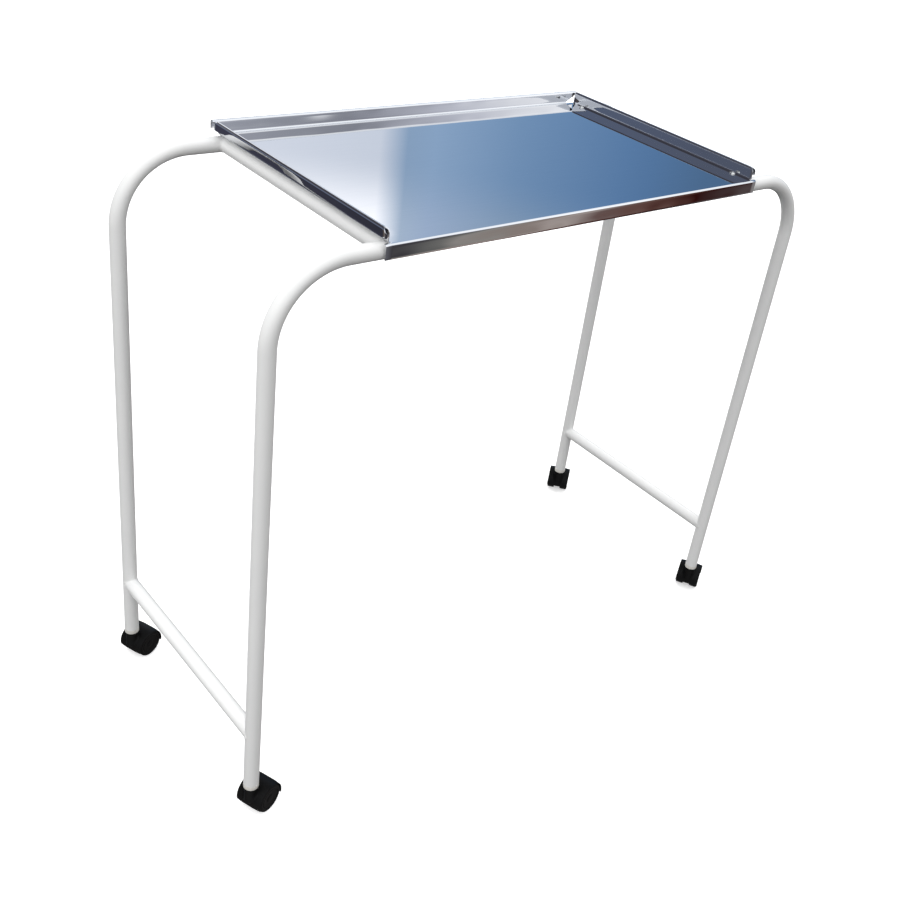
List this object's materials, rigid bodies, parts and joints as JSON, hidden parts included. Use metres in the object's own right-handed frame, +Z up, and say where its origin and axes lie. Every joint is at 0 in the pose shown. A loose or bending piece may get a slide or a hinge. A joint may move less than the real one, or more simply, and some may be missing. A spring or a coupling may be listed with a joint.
{
  "type": "overbed table",
  "caption": "Overbed table: a stainless tray with hemmed rims and a front skirt on a bent-tube frame that bridges the bed and rolls on swivelling twin-wheel castors.",
  "frame": {"origin": "on the floor, under the middle of the frame", "axes": "+X along the tray to the right, +Y from the front skirt to the rear rim, +Z up"},
  "size_m": [1.1869, 0.5193, 1.0222],
  "materials": {
    "powder_coat": "white powder coat, semi-gloss",
    "stainless": "bright annealed, close to a mirror",
    "zinc_steel": "bright zinc plate",
    "socket_nylon": "natural white nylon",
    "castor_nylon": "black nylon, satin"
  },
  "bodies": {
    "frame": {"front_bridge_tube": "powder_coat", "rear_bridge_tube": "powder_coat", "left_crossbar": "powder_coat", "right_crossbar": "powder_coat", "left_stretcher": "powder_coat", "right_stretcher": "powder_coat", "tray": "stainless", "tray_screw_front_left": "zinc_steel", "tray_screw_front_right": "zinc_steel", "tray_screw_rear_left": "zinc_steel", "tray_screw_rear_right": "zinc_steel", "castor_socket_front_left": "socket_nylon", "castor_stem_front_left": "zinc_steel", "castor_grip_ring_front_left": "zinc_steel", "castor_socket_front_right": "socket_nylon", "castor_stem_front_right": "zinc_steel", "castor_grip_ring_front_right": "zinc_steel", "castor_socket_rear_left": "socket_nylon", "castor_stem_rear_left": "zinc_steel", "castor_grip_ring_rear_left": "zinc_steel", "castor_socket_rear_right": "socket_nylon", "castor_stem_rear_right": "zinc_steel", "castor_grip_ring_rear_right": "zinc_steel"},
    "castor_front_left": {"castor_hood_front_left": "castor_nylon", "castor_axle_front_left": "zinc_steel"},
    "wheel_front_left_left": {"castor_wheel_front_left_left": "castor_nylon"},
    "wheel_front_left_right": {"castor_wheel_front_left_right": "castor_nylon"},
    "castor_front_right": {"castor_hood_front_right": "castor_nylon", "castor_axle_front_right": "zinc_steel"},
    "wheel_front_right_left": {"castor_wheel_front_right_left": "castor_nylon"},
    "wheel_front_right_right": {"castor_wheel_front_right_right": "castor_nylon"},
    "castor_rear_left": {"castor_hood_rear_left": "castor_nylon", "castor_axle_rear_left": "zinc_steel"},
    "wheel_rear_left_left": {"castor_wheel_rear_left_left": "castor_nylon"},
    "wheel_rear_left_right": {"castor_wheel_rear_left_right": "castor_nylon"},
    "castor_rear_right": {"castor_hood_rear_right": "castor_nylon", "castor_axle_rear_right": "zinc_steel"},
    "wheel_rear_right_left": {"castor_wheel_rear_right_left": "castor_nylon"},
    "wheel_rear_right_right": {"castor_wheel_rear_right_right": "castor_nylon"}
  },
  "joints": [
    {"name": "swivel_front_left", "type": "hinge", "parent": "frame", "child": "castor_front_left", "pos_m": [-0.558, -0.221, 0.0593], "axis": [0, 0, 1], "continuous": true},
    {"name": "spin_front_left_left", "type": "hinge", "parent": "castor_front_left", "child": "wheel_front_left_left", "pos_m": [-0.53733, -0.21348, 0.025], "axis": [-0.342, 0.9397, 0], "continuous": true},
    {"name": "spin_front_left_right", "type": "hinge", "parent": "castor_front_left", "child": "wheel_front_left_right", "pos_m": [-0.53733, -0.21348, 0.025], "axis": [-0.342, 0.9397, 0], "continuous": true},
    {"name": "swivel_front_right", "type": "hinge", "parent": "frame", "child": "castor_front_right", "pos_m": [0.558, -0.221, 0.0593], "axis": [0, 0, 1], "continuous": true},
    {"name": "spin_front_right_left", "type": "hinge", "parent": "castor_front_right", "child": "wheel_front_right_left", "pos_m": [0.57705, -0.21, 0.025], "axis": [-0.5, 0.866, 0], "continuous": true},
    {"name": "spin_front_right_right", "type": "hinge", "parent": "castor_front_right", "child": "wheel_front_right_right", "pos_m": [0.57705, -0.21, 0.025], "axis": [-0.5, 0.866, 0], "continuous": true},
    {"name": "swivel_rear_left", "type": "hinge", "parent": "frame", "child": "castor_rear_left", "pos_m": [-0.558, 0.221, 0.0593], "axis": [0, 0, 1], "continuous": true},
    {"name": "spin_rear_left_left", "type": "hinge", "parent": "castor_rear_left", "child": "wheel_rear_left_left", "pos_m": [-0.53733, 0.22852, 0.025], "axis": [-0.342, 0.9397, 0], "continuous": true},
    {"name": "spin_rear_left_right", "type": "hinge", "parent": "castor_rear_left", "child": "wheel_rear_left_right", "pos_m": [-0.53733, 0.22852, 0.025], "axis": [-0.342, 0.9397, 0], "continuous": true},
    {"name": "swivel_rear_right", "type": "hinge", "parent": "frame", "child": "castor_rear_right", "pos_m": [0.558, 0.221, 0.0593], "axis": [0, 0, 1], "continuous": true},
    {"name": "spin_rear_right_left", "type": "hinge", "parent": "castor_rear_right", "child": "wheel_rear_right_left", "pos_m": [0.57485, 0.23514, 0.025], "axis": [-0.6428, 0.766, 0], "continuous": true},
    {"name": "spin_rear_right_right", "type": "hinge", "parent": "castor_rear_right", "child": "wheel_rear_right_right", "pos_m": [0.57485, 0.23514, 0.025], "axis": [-0.6428, 0.766, 0], "continuous": true}
  ]
}
